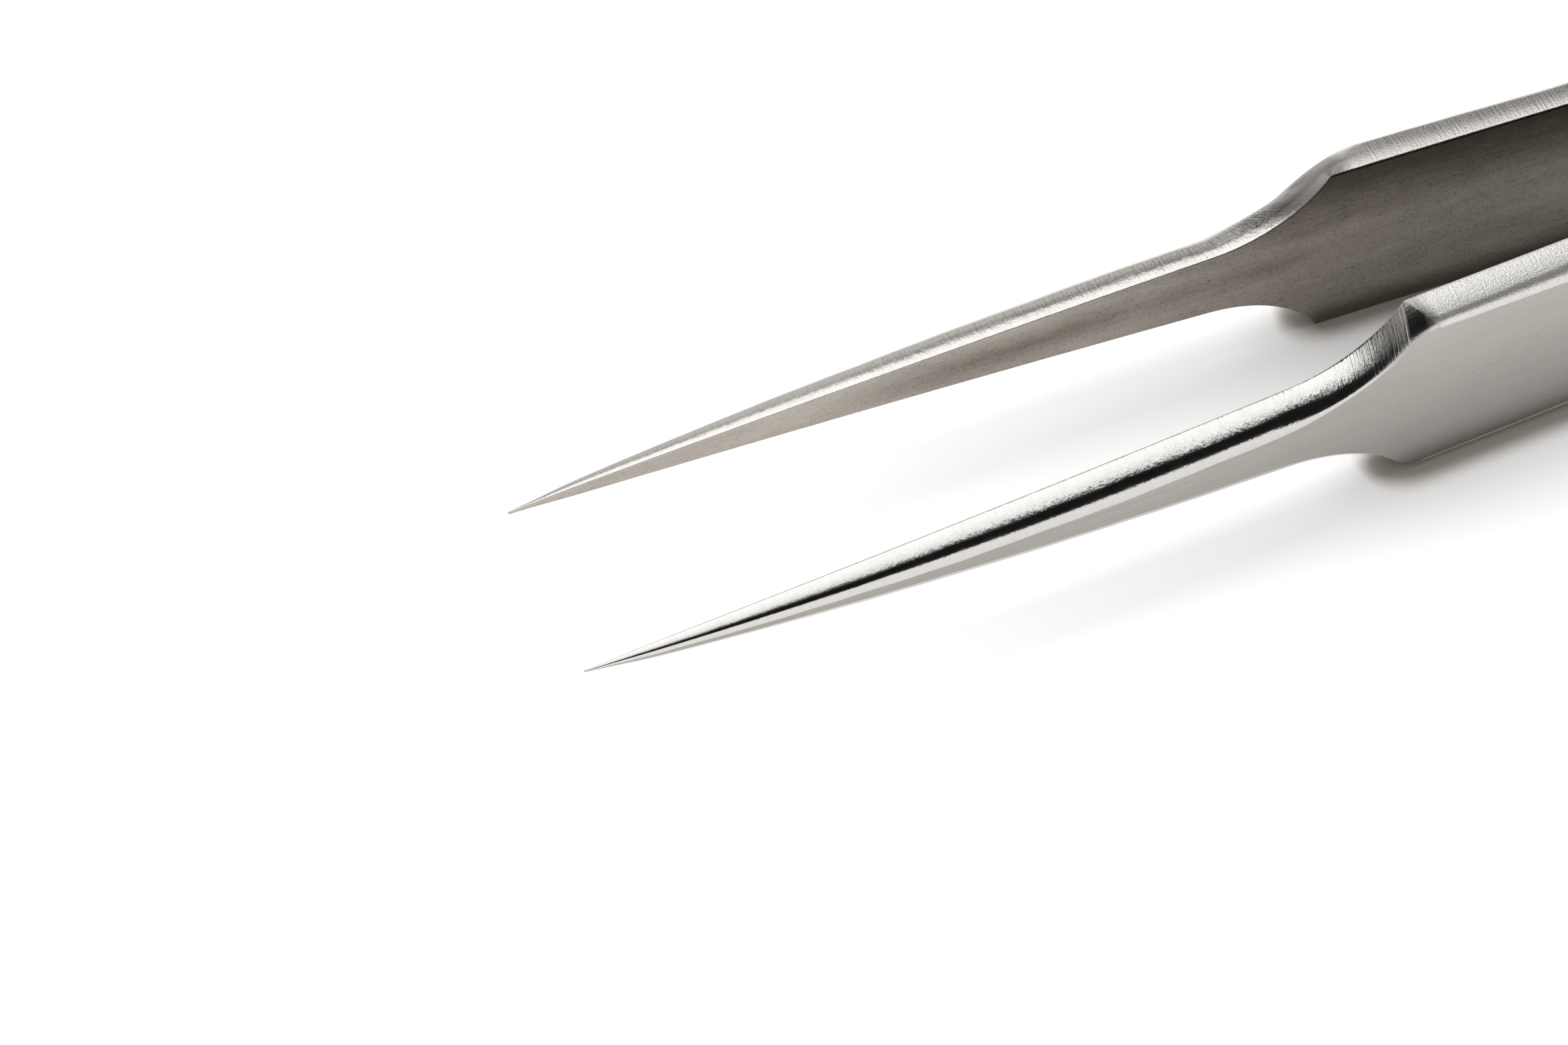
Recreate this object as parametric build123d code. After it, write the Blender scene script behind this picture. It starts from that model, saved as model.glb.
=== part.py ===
from build123d import *
from math import atan, cos, sin, sqrt
import os

# Fine-point precision tweezers lying on their long edges. +X runs from the tips to the tail,
# the arms open along Y and the blades stand along Z. The origin is on the resting plane, under
# the middle of the object. Each arm is one steel strip, parted at its spring zone by a
# concentric knuckle, so that the blade can swing on the tail the way the strip bends.

# ---- lengths along an arm, counted from the tips (mm) ----
overall_length = 110.0
neck_end = 28.65            # where the straight neck meets the ground scallop
waist_start = 76.0          # where the blade begins to narrow towards the tail
pivot_at = 82.7             # where a rigid blade would turn to match the bending strip
reverse_bend_at = 84.0      # where the bow turns back towards the weld
nugget_stations = (97.5, 104.5)

# ---- side outline, half widths about the centre line (mm) ----
blade_width = 9.5
tip_half_width = 0.12
neck_half_taper = 0.0575    # growth of the half width per mm of neck
scallop_radius = 5.6
shoulder_rounding = 0.35
waist_rounding = 60.0
tail_width = 7.4
tail_corner_radius = 2.2

# ---- bow of the inner face, as a half gap (mm) ----
tip_half_gap = 3.79
bow_slope = 0.005
bow_curvature = 0.00085

# ---- thickness of the strip (mm) ----
tip_thickness = 0.14
body_thickness = 1.35
spring_thickness = 0.65
tail_thickness = 0.95
nose_slope = 0.087
nose_blend = 11.0           # half length of the arc from the nose taper to the full thickness
thinning = (46.0, 86.0)     # where the strip thins towards the spring zone
thickening = (91.0, 99.0)   # where it thickens again for the weld
station_step = 5.0          # spacing of the points that carry the outer face

# ---- rounding of the long outer edges: from, to, radius (mm) ----
edge_roundings = ((0.0, 8.0, 0.08), (8.0, neck_end, 0.35), (neck_end, overall_length, 0.4))

# ---- spring knuckle and weld (mm) ----
knuckle_wrap = 0.01         # how much the knuckle radius exceeds half the strip
knuckle_clearance = 0.05
nugget_diameter = 3.0
nugget_thickness = 0.5

# ---- margins for finding edges and cutting stretches (mm) ----
end_margin = 0.01           # keeps a search for edges clear of the end faces
face_tolerance = 0.02       # how near the outer face a point of such an edge lies
corner_tolerance = 0.1      # how near its station a corner of the outline lies
overshoot = 1.0             # how far a cutting box reaches past the end of an arm


def along(distance):
    """Turn a distance from the tips into an X position."""
    return distance - overall_length / 2


def half_gap(distance):
    """Half gap between the inner faces on the bowed stretch of the arm."""
    return tip_half_gap - bow_slope * distance - bow_curvature * distance**2 / 2


def smooth_step(distance, stretch):
    """Ease from 0 to 1 over a stretch of the arm."""
    start, end = stretch
    t = min(max((distance - start) / (end - start), 0.0), 1.0)
    return t * t * (3 - 2 * t)


reverse_angle = atan(bow_slope + bow_curvature * reverse_bend_at)
reverse_radius = half_gap(reverse_bend_at) / (1 - cos(reverse_angle))
weld_start = reverse_bend_at + reverse_radius * sin(reverse_angle)


def inner_face(distance):
    """Y of the far arm's inner face: bowed, bent back, then flat in the weld."""
    if distance <= reverse_bend_at:
        return half_gap(distance)
    if distance <= weld_start:
        left = weld_start - distance
        return reverse_radius - sqrt(reverse_radius**2 - left**2)
    return 0.0


def thickness(distance):
    """Thickness of the strip: tapered nose, full grip, thin spring zone, thicker tail."""
    nose_end = (body_thickness - tip_thickness) / nose_slope + nose_blend
    nose_start = nose_end - 2 * nose_blend
    if distance < nose_start:
        return tip_thickness + nose_slope * distance
    left = max(nose_end - distance, 0.0)
    full = body_thickness - nose_slope * left**2 / (4 * nose_blend)
    thinned = (body_thickness - spring_thickness) * smooth_step(distance, thinning)
    thickened = (tail_thickness - spring_thickness) * smooth_step(distance, thickening)
    return full - thinned + thickened


def plan_point(distance, share=0.0):
    """Point of the far arm in plan, at a share of its thickness from the inner face."""
    return (along(distance), inner_face(distance) + share * thickness(distance))


def plan_outline():
    """Plan of the far arm, as a face in the XY plane."""
    bow = ThreePointArc(plan_point(0), plan_point(reverse_bend_at / 2), plan_point(reverse_bend_at))
    middle = (reverse_bend_at + weld_start) / 2
    back = ThreePointArc(plan_point(reverse_bend_at), plan_point(middle), plan_point(weld_start))
    weld = Line(plan_point(weld_start), plan_point(overall_length))
    steps = round(overall_length / station_step)
    outer = Spline([plan_point(overall_length * n / steps, 1.0) for n in range(steps + 1)])
    nose = Line(plan_point(0), plan_point(0, 1.0))
    tail = Line(plan_point(overall_length), plan_point(overall_length, 1.0))
    return make_face([bow, back, weld, tail, outer, nose])


def corners_at(face, corner):
    """Corners of the side view at a point and at its mirror image below the centre line."""
    x, half_width = corner
    return [
        vertex
        for vertex in face.vertices()
        if abs(vertex.X - x) < corner_tolerance
        and abs(abs(vertex.Y) - half_width) < corner_tolerance
    ]


def side_outline():
    """Side view of an arm, as a face in the XZ plane: needle neck, scallops, blade and tail."""
    half_width = blade_width / 2
    neck_angle = atan(neck_half_taper)
    neck_half_width = tip_half_width + neck_half_taper * neck_end
    centre_s = neck_end - scallop_radius * sin(neck_angle)
    centre_w = neck_half_width + scallop_radius * cos(neck_angle)
    shoulder_s = centre_s + sqrt(scallop_radius**2 - (centre_w - half_width) ** 2)
    tip = (along(0), tip_half_width)
    neck = (along(neck_end), neck_half_width)
    shoulder = (along(shoulder_s), half_width)
    waist = (along(waist_start), half_width)
    tail = (along(overall_length), tail_width / 2)
    upper = Line(tip, neck) + RadiusArc(neck, shoulder, -scallop_radius)
    upper += Polyline(shoulder, waist, tail, (tail[0], 0))
    lower = mirror(upper, about=Plane.XZ)
    rounded = make_face(upper + lower + Line(tip, (tip[0], -tip_half_width)))
    for corner, radius in (
        (shoulder, shoulder_rounding),
        (waist, waist_rounding),
        (tail, tail_corner_radius),
    ):
        rounded = fillet(corners_at(rounded, corner), radius)
    return Plane.XZ * rounded


def outer_edges(strip, start, end):
    """Edges of the strip that lie all along its outer face between two stations."""
    found = []
    for edge in strip.edges():
        stations = [(edge @ share).X + overall_length / 2 for share in (0.0, 0.5, 1.0)]
        heights = [(edge @ share).Y for share in (0.0, 0.5, 1.0)]
        offsets = [abs(y - inner_face(s) - thickness(s)) for s, y in zip(stations, heights)]
        inside = start + end_margin < stations[1] < end - end_margin
        if inside and max(offsets) < face_tolerance:
            found.append(edge)
    return found


def stretch_box(start, end):
    """Box that holds the stretch of an arm between two stations."""
    size = end - start
    return Pos(along(start) + size / 2, 0, blade_width / 2) * Box(size, 2 * blade_width, 2 * blade_width)


def far_arm():
    """The whole far arm as one strip, with its long outer edges rounded."""
    plan = extrude(plan_outline(), blade_width)
    side = extrude(side_outline(), blade_width, both=True)
    blank = plan & Pos(0, 0, blade_width / 2) * side
    arm = None
    for start, end, radius in edge_roundings:
        piece = blank & stretch_box(start, end)
        piece = fillet(outer_edges(piece, start, end), radius)
        arm = piece if arm is None else arm + piece
    return arm


def knuckle(radius):
    """Round about the axis on which a blade turns, at mid thickness of the far arm."""
    pivot_x, pivot_y = plan_point(pivot_at, 0.5)
    return Pos(pivot_x, pivot_y, blade_width / 2) * Cylinder(radius, 2 * blade_width)


def far_blade(arm):
    """Moving part of the far arm: needle tip, neck, shoulder and grip, with a round heel."""
    heel = knuckle(thickness(pivot_at) / 2 + knuckle_wrap)
    return arm & (stretch_box(-overshoot, pivot_at) + heel)


def far_tail(arm):
    """Fixed part of the far arm: spring root and weld flat, with a socket for the heel."""
    socket = knuckle(thickness(pivot_at) / 2 + knuckle_wrap + knuckle_clearance)
    root = arm & stretch_box(pivot_at, overall_length + overshoot)
    return root - socket - weld_nuggets()


def weld_nuggets():
    """Disc of weld metal at each spot where the two tails are joined."""
    turned = Rot(90, 0, 0) * Cylinder(nugget_diameter / 2, nugget_thickness)
    return Compound([Pos(along(s), 0, blade_width / 2) * turned for s in nugget_stations])


def write_parts():
    """Write each sub-part to its own file in the parts folder."""
    arm = far_arm()
    far_parts = {"blade": far_blade(arm), "tail": far_tail(arm)}
    os.makedirs("parts", exist_ok=True)
    for name, part in far_parts.items():
        export_step(part, f"parts/far_{name}.step")
        export_step(mirror(part, about=Plane.XZ), f"parts/near_{name}.step")
    export_step(weld_nuggets(), "parts/weld_nuggets.step")


write_parts()
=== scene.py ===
import math

import bmesh
import bpy
import numpy as np
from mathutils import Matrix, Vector


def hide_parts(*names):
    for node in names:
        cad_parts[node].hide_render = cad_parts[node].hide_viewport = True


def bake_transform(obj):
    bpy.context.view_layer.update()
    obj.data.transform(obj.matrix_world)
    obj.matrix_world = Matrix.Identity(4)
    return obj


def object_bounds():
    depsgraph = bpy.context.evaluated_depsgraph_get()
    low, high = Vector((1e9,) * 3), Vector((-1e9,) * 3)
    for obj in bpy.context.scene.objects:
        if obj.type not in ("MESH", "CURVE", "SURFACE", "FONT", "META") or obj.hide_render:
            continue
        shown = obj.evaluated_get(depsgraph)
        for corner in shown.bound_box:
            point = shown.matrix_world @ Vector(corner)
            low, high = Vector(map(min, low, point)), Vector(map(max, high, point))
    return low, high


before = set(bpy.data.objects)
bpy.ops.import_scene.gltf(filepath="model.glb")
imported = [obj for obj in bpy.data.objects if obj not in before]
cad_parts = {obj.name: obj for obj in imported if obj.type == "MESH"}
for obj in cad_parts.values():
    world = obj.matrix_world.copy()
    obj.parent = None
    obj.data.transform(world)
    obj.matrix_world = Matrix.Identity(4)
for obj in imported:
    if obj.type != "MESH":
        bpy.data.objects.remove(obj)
cad_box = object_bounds()

MM = 0.001

# ---------------------------------------------------------------- the strip, in mm from the tips
LENGTH = (cad_box[1].x - cad_box[0].x) / MM
TIP_X = cad_box[0].x / MM
HALF_BLADE = (cad_box[1].z - cad_box[0].z) / 2 / MM
MID_Z = (cad_box[1].z + cad_box[0].z) / 2 / MM

# Side outline, half widths.
TIP_HALF_WIDTH = 0.12
TIP_SHARPENED = 0.07
TIP_FACET = 3.0
NECK_TAPER = 0.0575
NECK_END = 28.65
SCALLOP_RADIUS = 5.6
WAIST_START = 76.0
WAIST_BLEND = 6.0
TAIL_HALF_WIDTH = 3.7
TAIL_CORNER = 2.2

# Bow of the inner face, and the hair gap that keeps it off the mid plane.
TIP_HALF_GAP = 3.79
BOW_SLOPE = 0.005
BOW_CURVATURE = 0.00085
REVERSE_BEND_AT = 84.0
SEAM = 0.008

# Thickness of the strip.
TIP_THICKNESS = 0.14
BODY_THICKNESS = 1.35
SPRING_THICKNESS = 0.65
TAIL_THICKNESS = 0.95
NOSE_SLOPE = 0.087
NOSE_BLEND = 11.0
THINNING = (46.0, 86.0)
THICKENING = (91.0, 99.0)

# Rounding of the outer long edges: a slight crown, then an elliptical roll down to the outer face.
# The roll takes a share of the half width, up to a limit that is narrowed past the shoulder and in
# the scallop, and it reaches into the thickness by a share that grows with the half width. The
# roll of the lower edge is smaller than that of the upper one.
CROWN_TURN = math.radians(15)
ROLL_DOWN_SHARE = 0.78
ROLL_DOWN_FULL = 0.80
ROLL_LIMIT_POWER = 6
ROLL_NARROWED = 0.42
ROLL_NARROWED_LENGTH = 6.0
ROLL_IN_SHARES = (0.3, 0.66)
ROLL_IN_GROWTH = 0.3
SCALLOP_ROLL = (27.0, 31.5)
SCALLOP_ROLL_DOWN = 0.5
SCALLOP_ROLL_IN = 2.6
LOWER_EDGE = 0.55

# Hair bevel at the inner face: its size, its share of a thin tip, and the place of its middle row.
INNER_BEVEL = 0.03
BEVEL_SHARE = 0.25
BEVEL_MIDDLE = 0.3

# Unevenness of hand grinding: size, radians per mm and phase of each wave.
HAND_WAVES = ((0.03, 0.9, 1.3), (0.015, 2.7, 0.0))

# Shoulder corners, hand ground: how far the cut reaches per mm of depth, and how round it is.
SHOULDER_CUT = {"near": 0.42, "far": 1.1}
SHOULDER_ROUNDNESS = {"near": 0.35, "far": 0.95}
SHALLOWEST_CUT = 0.05
CUT_INTO_SCALLOP = (0.8, 0.6)
CUT_CLEARANCE = 0.4

# Spacing of the outline points, in mm, and numbers of points and of profile rows.
NOSE_STEP = 0.08
NECK_STEP = 0.25
BLADE_STEP = 0.3
WELD_STEP = 0.14
NOSE_ARC = (176, 92, 10)
SCALLOP_POINTS = 80
CORNER_POINTS = 16
TAIL_ARC = (90, 0, 26)
FACE_COLUMNS = 61
CROWN_ROWS = (0.0, 0.1, 0.25, 0.4, 0.55, 0.7, 0.85)
ROLL_ROWS = 21

# Points this near are one, edges this short are dropped (m), and bends sharper than this stay sharp.
SAME_POINT = 1e-7
SHORTEST_EDGE = 1e-8
SHARP_BEND = math.radians(28)
TINY = 1e-6

# Grain of each surface: cycles per metre along and across it, detail, roughness and seed.
GRAINS = {
    "outer_streaks": (60, 9000, 5.0, 0.6, 0.0),
    "outer_clouds": (180, 260, 3.0, 0.6, 3.1),
    "outer_gloss": (200, 900, 3.0, 0.6, 0.0),
    "outer_brushing": (90, 9000, 4.0, 0.6, 5.0),
    "inner_clouds": (220, 600, 6.0, 0.65, 1.0),
    "inner_streaks": (260, 7000, 4.0, 0.6, 2.0),
    "inner_speckle": (9000, 11000, 2.0, 0.6, 2.0),
    "inner_gloss": (900, 900, 3.0, 0.6, 0.0),
    "inner_brushing": (200, 4000, 4.0, 0.6, 6.0),
    "belt_tone": (7000, 400, 4.0, 0.6, 2.0),
    "belt_marks": (9000, 350, 3.0, 0.6, 7.0),
    "crease_breaks": (500, 9000, 4.0, 0.6, 4.0),
    "frost": (20000, 20000, 1.0, 0.6, 3.0),
    "polish": (1500, 1500, 3.0, 0.6, 0.0),
    "peel": (14000, 14000, 2.0, 0.6, 9.0),
    "fuzz": (7000, 4500, 3.0, 0.6, 12.0),
}
SEED_SHIFT = (1.0, 1.7, 2.3)

# What a grain does: the span of the noise that counts, and the tone or gloss at either end of it.
LEVELS = {
    "outer_streaks": (0.3, 0.7, -0.22, 0.22),
    "outer_clouds": (0.25, 0.75, -0.12, 0.12),
    "outer_gloss": (0.3, 0.7, 0.26, 0.34),
    "inner_clouds": (0.25, 0.75, -0.2, 0.2),
    "inner_streaks": (0.3, 0.7, -0.06, 0.06),
    "inner_speckle": (0.52, 0.72, 0.03, -0.3),
    "inner_gloss": (0.3, 0.7, 0.2, 0.3),
    "belt_tone": (0.3, 0.7, 0.7, 0.8),
    "frost": (0.48, 0.6, 0.05, 0.32),
    "polish": (0.3, 0.7, 0.13, 0.2),
    "weld_tone": (0.3, 0.7, 0.0, 1.0),
    "weld_gloss": (0.3, 0.7, 0.34, 0.52),
}

# What changes along or across an arm: from and to, in metres, and the value at either end.
FADES = {
    "outer_along": (0.0, 0.034, 0.0, 0.55),
    # The next row is painted shade: the outer face darker towards its lower edge and lighter towards
    # its upper one.
    "outer_painted_shade_by_height": (-0.0047, 0.0047, -0.15, 0.42),
    # The next two rows are painted shade: the inner face darker towards the shoulder and towards its
    # top edge.
    "inner_painted_shade_along": (0.012, 0.032, 0.85, 0.36),
    "inner_painted_shade_top": (0.001, 0.0047, 0.0, -0.36),
    # The next three rows make a stripe that is partly a real stain and partly painted shade, standing
    # in for the mirrored shadow of the neck on the floor.
    "stain_and_shade_across": (0.0, 0.0011, 1.0, 0.0),
    "stain_and_shade_start": (0.013, 0.019, 0.0, 1.0),
    "stain_and_shade_end": (0.021, 0.034, 1.0, 0.0),
    "scallop_burnt": (0.0313, 0.033, 0.0, 1.0),
    "scallop_ground": (0.0305, 0.0328, 0.0, 1.0),
    "belt_depth": (0.0265, 0.031, 0.000011, 0.000028),
    "fuzz_depth": (0.004, 0.02, 0.000003, 0.000013),
}
STAIN_AND_SHADE_STRENGTH = 0.55
BURN_STRENGTH = 0.5

# Depth of the marks, in metres: the pairs are for the necks and for the blades.
OUTER_BRUSHING_DEPTH = 0.0000018
INNER_BRUSHING_DEPTH = 0.000003
BELT_DEPTHS = (0.000028, 0.000009)
PEEL_DEPTHS = (0.0000015, 0.000002)
PEEL_FROST_DEPTH = 0.000012
WELD_DEPTH = 0.00002

# Grain of the weld metal: cycles per metre of its tone, gloss and lumps, detail and roughness.
WELD_TONE = 1800
WELD_GLOSS = 3500
WELD_LUMPS = 2500
WELD_DETAIL = 5.0
WELD_ROUGHNESS = 0.6

# How frosted the top edges of the blades are, from 0 to 1, how far past the shoulder the frosting
# starts (mm), over what length it fades in (m), and what it takes from the mirroring.
FROST = {"near": 1.0, "far": 0.45}
FROST_STARTS = 0.4
FROST_FADE = 0.0006
FROST_DULLING = 0.2

# Tone of the top edges past the shoulder, painted light on the near arm and painted shade on the far
# arm, and roughness left in the scallops.
BLADE_PAINTED_LIGHT_AND_SHADE = {"near": 0.18, "far": -0.12}
SCALLOP_GROUND = {"near": 0.1, "far": 0.3}

# Dark and light colour of each kind of steel.
OUTER_COLOURS = ((0.29, 0.276, 0.257), (0.44, 0.421, 0.395))
INNER_COLOURS = ((0.135, 0.115, 0.092), (0.42, 0.387, 0.347))
WELD_COLOURS = ((0.27, 0.245, 0.215), (0.46, 0.43, 0.39))
EDGE_DARK = (0.30, 0.288, 0.272)
# The far arm's edge gets a darker, warmer light colour than the near arm's: painted shade, as both
# arms are one steel.
EDGE_LIGHT = {"near": (0.66, 0.65, 0.635), "far": (0.645, 0.625, 0.595)}

# A painted dark line where the two ground facets of the far neck's edge meet, painted shade standing
# in for the dark reflection
# along that crease: the profile row that it follows, how many rows it covers, and the stations where
# it fades in and out. It is
# broken: the noise between the two ends of CREASE_BREAKS takes it from CREASE_LEAST to full.
PAINTED_CREASE_SHADE = {"near": 0.0, "far": 0.9}
CREASE_BREAKS = (0.35, 0.6)
CREASE_LEAST = 0.3
CREASE_ROW = 6.3
CREASE_ROWS = 0.8
CREASE_STARTS = (11.0, 20.0)
CREASE_ENDS = (33.5, 34.5)

# Electrode marks over the weld nuggets. The wall and the raised rim go by the distance from the
# centre in radii: the top of the wall and its width, the middle of the rim and its width.
NUGGETS = (97.5, 104.5)
MARK_RADIUS = 1.3
MARK_DEPTH = 0.035
MARK_WALL = (1.15, 0.3)
MARK_RIM = (1.2, 0.12)
MARK_RIM_HEIGHT = 0.25
MARK_MARGIN = 2.0

# The panel overhead: strips that fade towards the front, as tangents from the zenith, and radiance.
PANEL_HEIGHT = 2.0
PANEL_SIDES = (-1.35, 0.55)
PANEL_STRIPS = ((0.09, 0.2, 1.4), (0.2, 0.3, 1.58), (0.3, 0.42, 1.7), (0.42, 1.04, 1.8))
FLOOR_PANEL = (-0.03, 0.75)
FLOOR_RADIANCE = 3.1

# The floor: its half size (m), how far the painted contact shadow reaches where the object touches it
# (m), how open the gap is where the painted shadow is darkest and where it ends, and the two colours,
# of the shadow and of the sheet.
FLOOR_HALF_SIZE = 4.0
CONTACT_SHADE_REACH = 0.0013
CONTACT_SHADE_OPEN = (0.68, 0.96)
PAINTED_CONTACT_SHADE = (0.26, 0.238, 0.212)
SHEET_COLOUR = (0.80, 0.80, 0.80)
SHEET_ROUGHNESS = 0.9
SHEET_SPECULAR = 0.1

# The room: where its lit parts begin and end, by direction, its colours as it is mirrored, and its
# colour as it lights the floor and as it is seen.
ROOM_FADES = {
    "behind": (0.1, 0.4, 0.0, 1.0),
    "from_left": (-0.25, 0.05, 0.0, 1.0),
    "to_right": (0.3, 0.4, 1.0, 0.1),
    "below_panel": (0.66, 0.63, 0.0, 1.0),
    "card_side": (-0.75, -0.9, 0.0, 1.0),
    "card_height": (0.35, 0.1, 0.0, 0.5),
    "card_depth": (-0.1, 0.35, 0.0, 1.0),
}
LEAST_BEHIND = 0.05
ROOM_DARK = (0.012, 0.012, 0.012)
ROOM_LIGHT = (0.87, 0.865, 0.855)
AMBIENT = (1.1, 1.08, 1.06, 1.0)
BACKDROP = (0.98, 0.98, 0.98, 1.0)

# The camera: where it looks from (degrees, m), its aim in mm from the tips, its lens (mm) and the
# nearest and farthest that it sees (m).
CAMERA_AZIMUTH = math.radians(-22.69)
CAMERA_ELEVATION = math.radians(55.43)
CAMERA_DISTANCE = 0.2575
CAMERA_AIM = (9.35, -0.53)
SENSOR_WIDTH = 36.0
FOCAL_LENGTH = 158.5
CLIP = (0.01, 20.0)


def smooth(values, start, end):
    """Ease from 0 to 1 between two stations."""
    t = np.clip((np.asarray(values, float) - start) / (end - start), 0.0, 1.0)
    return t * t * (3 - 2 * t)


def sharpened(s):
    """Metal stoned off the very tip."""
    return TIP_SHARPENED * (1 - smooth(s, 0.0, TIP_FACET))


def half_gap(s):
    """Half gap of the bowed stretch between the inner faces."""
    return TIP_HALF_GAP - BOW_SLOPE * s - BOW_CURVATURE * s**2 / 2


REVERSE_ANGLE = math.atan(BOW_SLOPE + BOW_CURVATURE * REVERSE_BEND_AT)
REVERSE_RADIUS = half_gap(REVERSE_BEND_AT) / (1 - math.cos(REVERSE_ANGLE))
WELD_START = REVERSE_BEND_AT + REVERSE_RADIUS * math.sin(REVERSE_ANGLE)


def inner_face(s):
    """Distance of the inner face from the mid plane."""
    left = np.clip(WELD_START - s, 0.0, None)
    reverse = REVERSE_RADIUS - np.sqrt(np.clip(REVERSE_RADIUS**2 - left**2, 0.0, None))
    return np.where(s <= REVERSE_BEND_AT, half_gap(s), np.where(s <= WELD_START, reverse, 0.0))


def thickness(s):
    """Thickness of the strip at each station."""
    nose_end = (BODY_THICKNESS - TIP_THICKNESS) / NOSE_SLOPE + NOSE_BLEND
    nose_start = nose_end - 2 * NOSE_BLEND
    left = np.clip(nose_end - s, 0.0, None)
    blended = BODY_THICKNESS - NOSE_SLOPE * left**2 / (4 * NOSE_BLEND)
    nose = np.where(s < nose_start, TIP_THICKNESS + NOSE_SLOPE * s, blended)
    thinned = (BODY_THICKNESS - SPRING_THICKNESS) * smooth(s, *THINNING)
    thickened = (TAIL_THICKNESS - SPRING_THICKNESS) * smooth(s, *THICKENING)
    return nose - sharpened(s) - thinned + thickened


def drop_to_tail(s):
    """How far the blade's edge has come in from its full half width."""
    slope = (HALF_BLADE - TAIL_HALF_WIDTH) / (LENGTH - WAIST_START)
    past = s - WAIST_START
    eased = np.clip(past + WAIST_BLEND, 0.0, 2 * WAIST_BLEND) ** 2 / (4 * WAIST_BLEND)
    return slope * np.where(past > WAIST_BLEND, past, eased)


# ---------------------------------------------------------------- side outline
def arc(centre, radius, start, end, count):
    """Points of an arc from one angle to another, in degrees."""
    angles = np.radians(np.linspace(start, end, count))
    return centre + np.stack([radius * np.cos(angles), radius * np.sin(angles)], 1)


def edge_run(start, end, step, half_width):
    """Points along the edge between two stations, about a step apart, without the last."""
    count = max(2, round((end - start) / step) + 1)
    stations = np.linspace(start, end, count)[:-1]
    return np.stack([stations, half_width(stations)], 1)


def neck_edge(s):
    """Half width of the straight needle neck."""
    return TIP_HALF_WIDTH - sharpened(s) + NECK_TAPER * s


def blade_edge(s):
    """Half width of the blade, from the shoulder to the tail."""
    return HALF_BLADE - drop_to_tail(s)


NECK_ANGLE = math.atan(NECK_TAPER)
SCALLOP_CENTRE = np.array(
    (
        NECK_END - SCALLOP_RADIUS * math.sin(NECK_ANGLE),
        neck_edge(NECK_END) + SCALLOP_RADIUS * math.cos(NECK_ANGLE),
    )
)
SHOULDER_AT = SCALLOP_CENTRE[0] + math.sqrt(
    SCALLOP_RADIUS**2 - (SCALLOP_CENTRE[1] - HALF_BLADE) ** 2
)


def shoulder_runs(insets, cut, roundness):
    """Scallop, corner and start of the blade's edge, moved into the metal by the insets."""
    radius = SCALLOP_RADIUS + insets
    level = HALF_BLADE - insets[-1]
    drop = level - SCALLOP_CENTRE[1]
    corner = np.array((SCALLOP_CENTRE[0] + math.sqrt(radius[-1] ** 2 - drop**2), level))
    meets = math.degrees(math.atan2(drop, corner[0] - SCALLOP_CENTRE[0]))
    reach = cut * (CUT_INTO_SCALLOP[0] + CUT_INTO_SCALLOP[1] * cut)
    ends = meets - math.degrees(reach / radius[-1])
    scallop = arc(SCALLOP_CENTRE, radius, math.degrees(NECK_ANGLE) - 90, ends, len(insets))
    after = corner + (cut, 0.0)
    control = roundness * corner + (1 - roundness) * (scallop[-1] + after) / 2
    t = np.linspace(0.0, 1.0, CORNER_POINTS + 1)[1:, None]
    turn = (1 - t) ** 2 * scallop[-1] + 2 * t * (1 - t) * control + t**2 * after
    return np.concatenate([scallop, turn])


def inward_shift(points, insets):
    """Move a line of points into the metal by the insets."""
    steps = np.gradient(points, axis=0)
    steps /= np.linalg.norm(steps, axis=1)[:, None]
    return points + np.stack([steps[:, 1], -steps[:, 0]], 1) * insets[:, None]


def base_runs(clear):
    """Upper half of the side outline at the inner face: before, in and after the scallop.

    The last run starts clear of the cut corner of the shoulder.
    """
    nose = TIP_HALF_WIDTH - TIP_SHARPENED
    tail_start = LENGTH - TAIL_CORNER
    tail_centre = (tail_start, float(blade_edge(np.array(tail_start))) - TAIL_CORNER)
    before = [
        arc((nose, 0.0), nose, *NOSE_ARC)[:-1],
        edge_run(nose, TIP_FACET, NOSE_STEP, neck_edge),
        edge_run(TIP_FACET, NECK_END, NECK_STEP, neck_edge),
    ]
    scallop_end = math.degrees(
        math.atan2(HALF_BLADE - SCALLOP_CENTRE[1], SHOULDER_AT - SCALLOP_CENTRE[0])
    )
    scallop_start = math.degrees(NECK_ANGLE) - 90
    scallop = arc(SCALLOP_CENTRE, SCALLOP_RADIUS, scallop_start, scallop_end, SCALLOP_POINTS)
    marks_start = NUGGETS[0] - MARK_MARGIN
    after = [
        edge_run(SHOULDER_AT + clear, marks_start, BLADE_STEP, blade_edge),
        edge_run(marks_start, tail_start, WELD_STEP, blade_edge),
        arc(tail_centre, TAIL_CORNER, *TAIL_ARC),
    ]
    return np.concatenate(before), scallop, np.concatenate(after)


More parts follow.
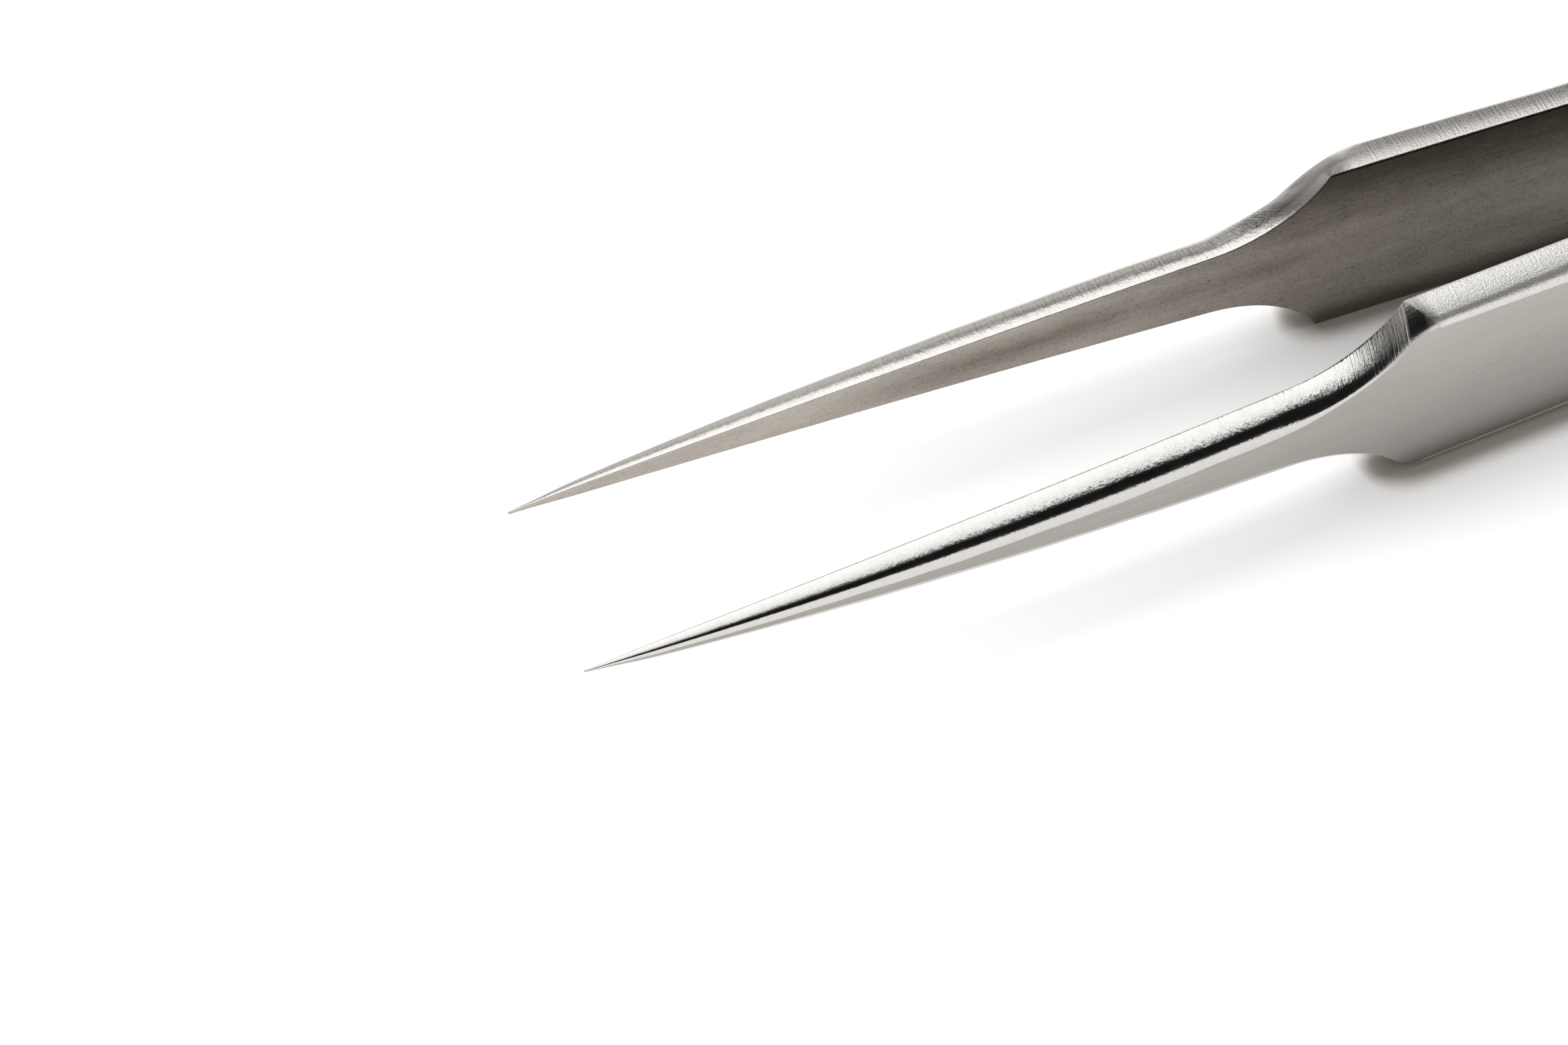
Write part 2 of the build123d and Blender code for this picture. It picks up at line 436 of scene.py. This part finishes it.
# ---------------------------------------------------------------- arm surface
def edge_section(points, size):
    """Inset and depth of each row of the rounded edge, at each point of the outline.

    The rows run over a hair bevel at the inner face, a slightly crowned top and an elliptical
    roll that ends flush with the outer face.
    """
    s, w = points[:, 0], points[:, 1]
    past = s - SHOULDER_AT
    in_scallop = np.where(past < TINY, smooth(s, *SCALLOP_ROLL), 0.0)
    after_shoulder = np.where(past < TINY, 0.0, np.exp(-((past / ROLL_NARROWED_LENGTH) ** 2)))
    limit = ROLL_DOWN_FULL * (1 - ROLL_NARROWED * after_shoulder)
    limit = limit * (1 - (1 - SCALLOP_ROLL_DOWN) * in_scallop)
    hand_ground = sum((height * np.sin(turns * s + phase) for height, turns, phase in HAND_WAVES), 1)
    share = ROLL_DOWN_SHARE * w
    power = ROLL_LIMIT_POWER
    softened = (share**power + limit**power + TINY**2) ** (1 / power)
    down = size * share * limit / softened * hand_ground
    at_tip, at_most = ROLL_IN_SHARES
    across = down * np.minimum(at_tip + ROLL_IN_GROWTH * w, at_most)
    across = across * (1 + (SCALLOP_ROLL_IN - 1) * in_scallop)
    first = np.arctan(across * math.tan(CROWN_TURN) / np.maximum(down, TINY))
    bevel = np.minimum(INNER_BEVEL, BEVEL_SHARE * w)
    full = thickness(s)
    crown = full - bevel - across * (1 - np.sin(first))
    sink = crown * math.tan(CROWN_TURN / 2)
    insets = [bevel, BEVEL_MIDDLE * bevel]
    depths = [0.0 * s, BEVEL_MIDDLE * bevel]
    for part in CROWN_ROWS:
        insets.append(sink * part**2)
        depths.append(bevel + crown * part)
    for part in np.linspace(0.0, 1.0, ROLL_ROWS):
        angle = first + (math.pi / 2 - first) * part
        insets.append(sink + down * (np.cos(first) - np.cos(angle)))
        depths.append(bevel + crown + across * (np.sin(angle) - np.sin(first)))
    return np.stack(insets, 1), np.stack(depths, 1)


def edge_strip(arm, size):
    """Upper edge of an arm: (outline point, profile row, station / half width / depth)."""
    before, scallop, after = base_runs(SHOULDER_CUT[arm] * BODY_THICKNESS + CUT_CLEARANCE)
    corner = np.repeat(scallop[-1:], CORNER_POINTS, axis=0)
    base = np.concatenate([before, scallop, corner, after])
    insets, depths = edge_section(base, size)
    turn_from, turn_to = len(before), len(base) - len(after)
    scallop_to = turn_to - CORNER_POINTS
    rows = []
    for row in range(insets.shape[1]):
        inset, depth = insets[:, row], depths[:, row]
        cut = SHALLOWEST_CUT + SHOULDER_CUT[arm] * depth[turn_to - 1]
        runs = [
            inward_shift(before, inset[:turn_from]),
            shoulder_runs(inset[turn_from:scallop_to], cut, SHOULDER_ROUNDNESS[arm]),
            inward_shift(after, inset[turn_to:]),
        ]
        rows.append(np.column_stack([np.concatenate(runs), depth]))
    return np.stack(rows, 1)


def across_blade(upper, lower):
    """Face between an upper and a lower line of points: a grid of points."""
    shares = np.linspace(0.0, 1.0, FACE_COLUMNS)[:, None]
    return lower[:, None, :] * (1 - shares) + upper[:, None, :] * shares


def electrode_marks(grid):
    """Press the shallow round marks of the welding electrodes into the outer face."""
    wall, wall_width = MARK_WALL
    rim, rim_width = MARK_RIM
    for centre in NUGGETS:
        reach = np.hypot(grid[:, :, 0] - centre, grid[:, :, 1]) / MARK_RADIUS
        pressed = np.clip(wall - reach, 0.0, wall_width) / wall_width
        pressed = pressed * pressed * (3 - 2 * pressed)
        raised = MARK_RIM_HEIGHT * np.exp(-(((reach - rim) / rim_width) ** 2))
        grid[:, :, 2] += MARK_DEPTH * (raised - pressed)


def grain_along_face(grid):
    """Texture place on a flat face: station, half width, station."""
    return grid[:, :, (0, 1, 0)]


def painted_crease_shades(grid):
    """How dark the painted shade is along the crease between the two facets of an edge, from 0 to 1.
    """
    rows = np.arange(grid.shape[1])
    across = np.exp(-(((rows - CREASE_ROW) / CREASE_ROWS) ** 2))
    s = grid[:, :, 0]
    return across * smooth(s, *CREASE_STARTS) * (1 - smooth(s, *CREASE_ENDS))


def grain_along_edge(grid):
    """Texture place on the edge: way along it, way round it, station."""
    along = np.linalg.norm(np.diff(grid[:, :1], axis=0, prepend=grid[:1, :1]), axis=2)
    around = np.linalg.norm(np.diff(grid, axis=1, prepend=grid[:, :1]), axis=2)
    way = np.broadcast_to(np.cumsum(along, axis=0), around.shape)
    return np.stack([way, np.cumsum(around, axis=1), grid[:, :, 0]], -1)


def arm_sheets(arm):
    """Grids of points, texture places and painted crease shades of an arm, by kind of surface."""
    upper = edge_strip(arm, 1.0)
    lower = edge_strip(arm, LOWER_EDGE) * (1.0, -1.0, 1.0)
    outer = across_blade(upper[:, -1], lower[:, -1])
    electrode_marks(outer)
    faces = {
        "inner": [across_blade(upper[:, 0], lower[:, 0])],
        "outer": [outer],
        "edge": [across_blade(upper[row], lower[row]) for row in (0, -1)],
    }
    sheets = {
        kind: [(g, grain_along_face(g), 0.0 * g[:, :, 0]) for g in grids]
        for kind, grids in faces.items()
    }
    sheets["edge"] += [(g, grain_along_edge(g), painted_crease_shades(g)) for g in (upper, lower)]
    return sheets


def to_frame(grid, side):
    """Bend a grid round the bow of the arm and place it in the frame, in metres."""
    s, w, depth = grid[..., 0], grid[..., 1], grid[..., 2]
    y = side * (SEAM + inner_face(s) + depth)
    return np.stack([TIP_X + s, y, MID_Z + w], -1) * MM


def build_arm(arm, side, materials):
    """One arm as a closed mesh with its own material on each kind of surface."""
    vertices, faces, slots, grain_places, creases = [], [], [], [], []
    count = 0
    sheets = arm_sheets(arm)
    for slot, kind in enumerate(materials):
        for grid, places, shades in sheets[kind]:
            rows, columns = grid.shape[:2]
            index = np.arange(rows * columns).reshape(rows, columns)
            corners = (index[:-1, :-1], index[1:, :-1], index[1:, 1:], index[:-1, 1:])
            quads = np.stack(corners, -1).reshape(-1, 4)
            vertices.append(to_frame(grid, side).reshape(-1, 3))
            faces.append(quads + count)
            slots.append(np.full(len(quads), slot))
            grain_places.append(places.reshape(-1, 3)[quads.ravel()] * MM)
            creases.append(shades.ravel()[quads.ravel()])
            count += rows * columns
    mesh = bpy.data.meshes.new(f"{arm}_arm_strip")
    mesh.from_pydata(np.concatenate(vertices).tolist(), [], np.concatenate(faces).tolist())
    for material in materials.values():
        mesh.materials.append(material)
    mesh.polygons.foreach_set("material_index", np.concatenate(slots))
    place_layer = mesh.attributes.new("grain_place", "FLOAT_VECTOR", "CORNER")
    place_layer.data.foreach_set("vector", np.concatenate(grain_places).ravel())
    crease_layer = mesh.attributes.new("painted_crease_shade", "FLOAT", "CORNER")
    crease_layer.data.foreach_set("value", np.concatenate(creases))
    close_mesh(mesh)
    strip = bpy.data.objects.new(f"{arm}_arm_strip", mesh)
    bpy.context.scene.collection.objects.link(strip)
    return strip


def close_mesh(mesh):
    """Join the grids where they meet, face them outwards and shade them smooth."""
    work = bmesh.new()
    work.from_mesh(mesh)
    bmesh.ops.remove_doubles(work, verts=work.verts, dist=SAME_POINT)
    bmesh.ops.dissolve_degenerate(work, edges=work.edges, dist=SHORTEST_EDGE)
    bmesh.ops.recalc_face_normals(work, faces=work.faces)
    work.to_mesh(mesh)
    work.free()
    mesh.shade_smooth()
    mesh.set_sharp_from_angle(angle=SHARP_BEND)


# ---------------------------------------------------------------- materials
def link(tree, kind, inputs=(), **settings):
    """Add a node, set its own settings, and fill its inputs with values or other sockets."""
    node = tree.nodes.new(kind)
    for key, value in settings.items():
        setattr(node, key, value)
    for key, value in dict(inputs).items():
        if isinstance(value, bpy.types.NodeSocket):
            tree.links.new(value, node.inputs[key])
        else:
            node.inputs[key].default_value = value
    return node


def grain_place(tree):
    """Place on the unbent arm, in metres, so that the grain stays put when the arm bends."""
    return link(tree, "ShaderNodeAttribute", attribute_name="grain_place").outputs["Vector"]


def grain(tree, name):
    """The noise of a named grain, with its own density along and across."""
    along, across, detail, roughness, seed = GRAINS[name]
    values = {
        "Vector": grain_place(tree),
        "Scale": (along, across, 0.0),
        "Location": [seed * shift for shift in SEED_SHIFT],
    }
    place = link(tree, "ShaderNodeMapping", values).outputs[0]
    values = {"Vector": place, "Scale": 1.0, "Detail": detail, "Roughness": roughness}
    return link(tree, "ShaderNodeTexNoise", values).outputs["Fac"]


def spread(tree, value, low, high, to_low=0.0, to_high=1.0):
    """Map a value from one range to another, held at both ends."""
    ranges = {
        "Value": value,
        "From Min": low,
        "From Max": high,
        "To Min": to_low,
        "To Max": to_high,
    }
    return link(tree, "ShaderNodeMapRange", ranges, clamp=True).outputs["Result"]


def levelled(tree, name):
    """A named grain, brought to its levels."""
    return spread(tree, grain(tree, name), *LEVELS[name])


def axis(tree, letter):
    """X, the way along; Y, the way across or round; or Z, the distance from the tips; in metres."""
    return link(tree, "ShaderNodeSeparateXYZ", {0: grain_place(tree)}).outputs[letter]


def fade(tree, letter, name):
    """A named change along one axis of the unbent arm."""
    return spread(tree, axis(tree, letter), *FADES[name])


def combine(tree, operation, result, *others):
    """Several values through math nodes, one after another."""
    for other in others:
        values = {0: result, 1: other}
        result = link(tree, "ShaderNodeMath", values, operation=operation).outputs[0]
    return result


def choose(tree, factor, first, second):
    """The first colour, the second, or one between them."""
    colours = {0: factor, 6: first, 7: second}
    return link(tree, "ShaderNodeMix", colours, data_type="RGBA").outputs[2]


def shade(tree, factor, dark, light):
    """A colour between a dark and a light one."""
    return choose(tree, factor, (*dark, 1.0), (*light, 1.0))


def steel(name, colours, mottle, gloss, bumps, sheen=None):
    """Bare stainless steel: a mottled colour, an uneven gloss and the marks that shape it.

    The sheen tells how much of the surface still mirrors where it is frosted.
    """
    material = bpy.data.materials.new(name)
    material.use_nodes = True
    tree = material.node_tree
    shader = tree.nodes["Principled BSDF"]
    shader.inputs["Metallic"].default_value = 1.0
    tree.links.new(shade(tree, mottle(tree), *colours), shader.inputs["Base Color"])
    tree.links.new(gloss(tree), shader.inputs["Roughness"])
    if sheen is not None:
        tree.links.new(sheen(tree), shader.inputs["Metallic"])
    normal = None
    for height, depth in bumps(tree):
        values = {"Height": height, "Strength": 1.0, "Distance": depth}
        if normal is not None:
            values["Normal"] = normal
        normal = link(tree, "ShaderNodeBump", values).outputs["Normal"]
    tree.links.new(normal, shader.inputs["Normal"])
    return material


def outer_steel():
    """Outer face: light satin steel, brushed lengthwise, with painted shade that darkens it towards
    its lower edge.
    """

    def mottle(tree):
        marks = (levelled(tree, "outer_streaks"), levelled(tree, "outer_clouds"))
        # The second trend is painted shade: darker towards the lower edge, lighter towards the upper
        # one.
        trends = (fade(tree, "X", "outer_along"), fade(tree, "Y", "outer_painted_shade_by_height"))
        return combine(tree, "ADD", *marks, *trends)

    def gloss(tree):
        return levelled(tree, "outer_gloss")

    def bumps(tree):
        return [(grain(tree, "outer_brushing"), OUTER_BRUSHING_DEPTH)]

    return steel("steel_outer_face", OUTER_COLOURS, mottle, gloss, bumps)


def inner_steel():
    """Inner face: darker, warmer and finely speckled, with painted shade towards the shoulder and the
    top edge, and a dark stripe along the middle of the neck that is partly stain and partly painted
    shade.
    """

    # Partly a real stain, partly painted shade: the dark stripe along the middle of the neck also
    # stands in for the mirrored shadow of the neck.
    def stain_and_shade(tree):
        from_middle = combine(tree, "ABSOLUTE", axis(tree, "Y"), 0.0)
        across = spread(tree, from_middle, *FADES["stain_and_shade_across"])
        ends = (fade(tree, "X", "stain_and_shade_start"), fade(tree, "X", "stain_and_shade_end"))
        return combine(tree, "MULTIPLY", across, *ends, STAIN_AND_SHADE_STRENGTH)

    def mottle(tree):
        names = ("inner_clouds", "inner_streaks", "inner_speckle")
        marks = [levelled(tree, name) for name in names]
        # Both trends are painted shade: darker towards the shoulder and towards the top edge.
        trends = (fade(tree, "X", "inner_painted_shade_along"), fade(tree, "Y", "inner_painted_shade_top"))
        return combine(tree, "SUBTRACT", combine(tree, "ADD", *marks, *trends), stain_and_shade(tree))

    def gloss(tree):
        return levelled(tree, "inner_gloss")

    def bumps(tree):
        return [(grain(tree, "inner_brushing"), INNER_BRUSHING_DEPTH)]

    return steel("steel_inner_face", INNER_COLOURS, mottle, gloss, bumps)


def edge_steel(arm):
    """Ground edges: polished necks and frosted blades, marked crosswise by the belt, with painted
    light on the near blade, painted shade on the far one and a painted dark line along the far neck's
    crease.
    """
    frost = FROST[arm]

    def by_station(tree, before, after):
        start = (SHOULDER_AT + FROST_STARTS) * MM
        return spread(tree, axis(tree, "Z"), start, start + FROST_FADE, before, after)

    # Painted shade: a broken dark line along the crease of the far neck's edge.
    def crease(tree):
        shades = link(tree, "ShaderNodeAttribute", attribute_name="painted_crease_shade").outputs["Fac"]
        levels = (CREASE_LEAST * PAINTED_CREASE_SHADE[arm], PAINTED_CREASE_SHADE[arm])
        broken = spread(tree, grain(tree, "crease_breaks"), *CREASE_BREAKS, *levels)
        return combine(tree, "MULTIPLY", shades, broken)

    def mottle(tree):
        # Painted light and shade: past the shoulder the near blade's edge is lightened and the far
        # one's darkened.
        on_blade = by_station(tree, 0.0, BLADE_PAINTED_LIGHT_AND_SHADE[arm])
        tone = combine(tree, "ADD", levelled(tree, "belt_tone"), on_blade)
        on_neck = by_station(tree, BURN_STRENGTH, 0.0)
        burnt = combine(tree, "MULTIPLY", fade(tree, "Z", "scallop_burnt"), on_neck)
        return combine(tree, "SUBTRACT", tone, burnt, crease(tree))

    def gloss(tree):
        frosted = combine(tree, "MULTIPLY", levelled(tree, "frost"), by_station(tree, 0.0, frost))
        on_neck = by_station(tree, SCALLOP_GROUND[arm], 0.0)
        ground = combine(tree, "MULTIPLY", fade(tree, "Z", "scallop_ground"), on_neck)
        return combine(tree, "ADD", levelled(tree, "polish"), ground, frosted)

    def sheen(tree):
        return by_station(tree, 1.0, 1.0 - FROST_DULLING * frost)

    def bumps(tree):
        belt = combine(tree, "MINIMUM", fade(tree, "Z", "belt_depth"), by_station(tree, *BELT_DEPTHS))
        on_neck, on_blade = PEEL_DEPTHS
        peel = by_station(tree, on_neck, on_blade + PEEL_FROST_DEPTH * frost)
        fuzz = combine(tree, "MULTIPLY", fade(tree, "Z", "fuzz_depth"), by_station(tree, 1.0, 0.0))
        depths = {"belt_marks": belt, "peel": peel, "fuzz": fuzz}
        return [(grain(tree, name), depth) for name, depth in depths.items()]

    return steel(f"steel_{arm}_edge", (EDGE_DARK, EDGE_LIGHT[arm]), mottle, gloss, bumps, sheen)


def weld_steel():
    """Weld metal: cast rather than rolled, so it has no grain direction."""

    def cast(tree, per_metre):
        place = link(tree, "ShaderNodeTexCoord").outputs["Object"]
        values = {"Vector": place, "Scale": per_metre, "Detail": WELD_DETAIL}
        values["Roughness"] = WELD_ROUGHNESS
        return link(tree, "ShaderNodeTexNoise", values).outputs["Fac"]

    def mottle(tree):
        return spread(tree, cast(tree, WELD_TONE), *LEVELS["weld_tone"])

    def gloss(tree):
        return spread(tree, cast(tree, WELD_GLOSS), *LEVELS["weld_gloss"])

    def bumps(tree):
        return [(cast(tree, WELD_LUMPS), WELD_DEPTH)]

    return steel("weld_metal", WELD_COLOURS, mottle, gloss, bumps)


# ---------------------------------------------------------------- stage, light and camera
def build_floor():
    """A plain white sheet under the object, with a painted contact shadow in the narrow gap where
    they touch.
    """
    size = FLOOR_HALF_SIZE
    mesh = bpy.data.meshes.new("floor")
    corners = [(-size, -size, 0), (size, -size, 0), (size, size, 0), (-size, size, 0)]
    mesh.from_pydata(corners, [], [(0, 1, 2, 3)])
    material = bpy.data.materials.new("white_floor")
    material.use_nodes = True
    tree = material.node_tree
    shader = tree.nodes["Principled BSDF"]
    # Painted shadow: the sheet's colour turns to the dark contact colour where ambient occlusion
    # finds the object close.
    open_sky = link(tree, "ShaderNodeAmbientOcclusion", {"Distance": CONTACT_SHADE_REACH}).outputs["AO"]
    clear = spread(tree, open_sky, *CONTACT_SHADE_OPEN)
    sheet = shade(tree, clear, PAINTED_CONTACT_SHADE, SHEET_COLOUR)
    tree.links.new(sheet, shader.inputs["Base Color"])
    shader.inputs["Roughness"].default_value = SHEET_ROUGHNESS
    shader.inputs["Specular IOR Level"].default_value = SHEET_SPECULAR
    mesh.materials.append(material)
    floor = bpy.data.objects.new("floor", mesh)
    bpy.context.scene.collection.objects.link(floor)


def panel_light(name, radiance, front, rear, for_floor):
    """A strip of the panel overhead and behind, either for the floor's light or for reflections."""
    left, right = PANEL_SIDES
    data = bpy.data.lights.new(name, "AREA")
    data.shape = "RECTANGLE"
    data.size = (right - left) * PANEL_HEIGHT
    data.size_y = (rear - front) * PANEL_HEIGHT
    data.energy = radiance * math.pi * data.size * data.size_y
    panel = bpy.data.objects.new(name, data)
    bpy.context.scene.collection.objects.link(panel)
    middle = ((left + right) / 2, (front + rear) / 2, 1.0)
    panel.location = Vector(middle) * PANEL_HEIGHT
    panel.visible_camera = False
    panel.visible_glossy = not for_floor
    panel.visible_diffuse = for_floor


def build_world():
    """The room: dark in front, a light backdrop behind, a card at the left, white to look at."""
    world = bpy.data.worlds.new("studio")
    bpy.context.scene.world = world
    world.use_nodes = True
    tree = world.node_tree
    tree.nodes.clear()
    place = link(tree, "ShaderNodeTexCoord").outputs["Generated"]
    toward = link(tree, "ShaderNodeSeparateXYZ", {0: place}).outputs

    def part(value, name):
        return spread(tree, value, *ROOM_FADES[name])

    depth = combine(tree, "MAXIMUM", toward["Y"], LEAST_BEHIND)
    sideways = combine(tree, "DIVIDE", toward["X"], depth)
    sides = (part(sideways, "from_left"), part(sideways, "to_right"))
    ends = (part(toward["Y"], "behind"), part(toward["Z"], "below_panel"))
    backdrop = combine(tree, "MULTIPLY", *sides, *ends)
    card_ends = (part(toward["Z"], "card_height"), part(toward["Y"], "card_depth"))
    card = combine(tree, "MULTIPLY", part(toward["X"], "card_side"), *card_ends)
    lit = combine(tree, "MAXIMUM", backdrop, card)
    room = shade(tree, lit, ROOM_DARK, ROOM_LIGHT)
    path = link(tree, "ShaderNodeLightPath").outputs
    ambient = choose(tree, path["Is Diffuse Ray"], room, AMBIENT)
    seen = choose(tree, path["Is Camera Ray"], ambient, BACKDROP)
    background = link(tree, "ShaderNodeBackground", {"Color": seen})
    output = link(tree, "ShaderNodeOutputWorld")
    tree.links.new(background.outputs[0], output.inputs["Surface"])


def build_camera():
    """A long lens that looks down on the necks and shoulders from the tips' side."""
    aim = Vector((TIP_X + CAMERA_AIM[0], CAMERA_AIM[1], MID_Z)) * MM
    level = math.cos(CAMERA_ELEVATION)
    back = Vector(
        (
            math.sin(CAMERA_AZIMUTH) * level,
            -math.cos(CAMERA_AZIMUTH) * level,
            math.sin(CAMERA_ELEVATION),
        )
    )
    data = bpy.data.cameras.new("camera")
    data.sensor_width = SENSOR_WIDTH
    data.lens = FOCAL_LENGTH
    data.clip_start, data.clip_end = CLIP
    camera = bpy.data.objects.new("camera", data)
    bpy.context.scene.collection.objects.link(camera)
    camera.location = aim + back * CAMERA_DISTANCE
    camera.rotation_mode = "QUATERNION"
    camera.rotation_quaternion = back.to_track_quat("Z", "Y")
    bpy.context.scene.camera = camera


# ---------------------------------------------------------------- the object
def build_arms():
    """Both arms, each standing for its blade and tail and bending between them."""
    faces = {"inner": inner_steel(), "outer": outer_steel()}
    for name, side in (("near", -1), ("far", 1)):
        arm = build_arm(name, side, faces | {"edge": edge_steel(name)})
        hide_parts(f"{name}_blade", f"{name}_tail")
        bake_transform(arm)


def finish_welds():
    """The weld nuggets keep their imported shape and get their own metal."""
    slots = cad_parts["weld_nuggets"].data.materials
    slots.clear()
    slots.append(weld_steel())


bpy.context.scene.view_settings.view_transform = "Standard"
build_camera()
for start, end, radiance in PANEL_STRIPS:
    panel_light("panel_reflection", radiance, start, end, False)
panel_light("panel_floor", FLOOR_RADIANCE, *FLOOR_PANEL, True)
build_world()
build_floor()
build_arms()
finish_welds()
